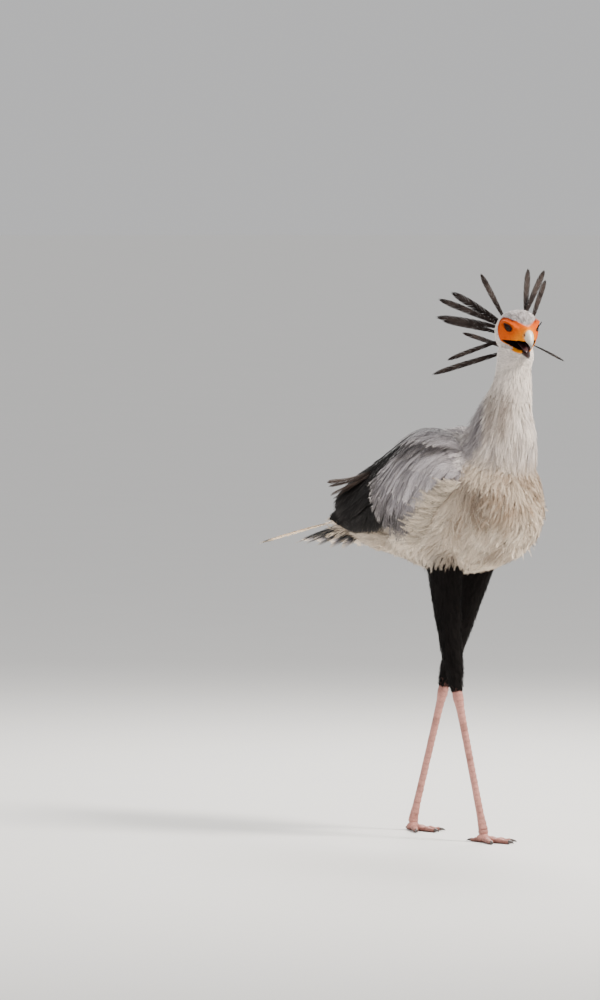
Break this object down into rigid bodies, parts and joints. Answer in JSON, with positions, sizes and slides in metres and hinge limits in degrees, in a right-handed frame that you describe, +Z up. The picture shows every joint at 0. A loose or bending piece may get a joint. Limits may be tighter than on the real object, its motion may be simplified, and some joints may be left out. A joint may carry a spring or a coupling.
{
  "type": "secretary bird",
  "caption": "Life-size secretary bird walking with its crest raised, its head turned to its right and its hooked bill open, as a still model.",
  "frame": {"origin": "on the floor, under the middle of the bounding box", "axes": "+Z up, the bird walks towards -Y, so its left side is +X"},
  "size_m": [0.3198, 0.9772, 1.2808],
  "materials": {
    "plumage_white": "matt",
    "plumage_grey": "matt",
    "plumage_black": "matt",
    "bill_horn": "satin",
    "mouth_skin": "moist",
    "eye_dark": "polished",
    "leg_skin": "scaled",
    "claw_horn": "satin"
  },
  "bodies": {
    "root": {"head": "plumage_grey", "bill_upper": "bill_horn", "bill_lower": "bill_horn", "tongue": "mouth_skin", "eye_left": "eye_dark", "eye_right": "eye_dark", "neck": "plumage_white", "torso": "plumage_white", "tail": "plumage_black", "wing_left": "plumage_grey", "wing_right": "plumage_grey", "thigh_left": "plumage_black", "thigh_right": "plumage_black", "shank_left": "leg_skin", "shank_right": "leg_skin", "foot_left": "leg_skin", "foot_right": "leg_skin", "claw_outer_left": "claw_horn", "claw_middle_left": "claw_horn", "claw_inner_left": "claw_horn", "claw_hind_left": "claw_horn", "claw_outer_right": "claw_horn", "claw_middle_right": "claw_horn", "claw_inner_right": "claw_horn", "claw_hind_right": "claw_horn"}
  },
  "joints": []
}
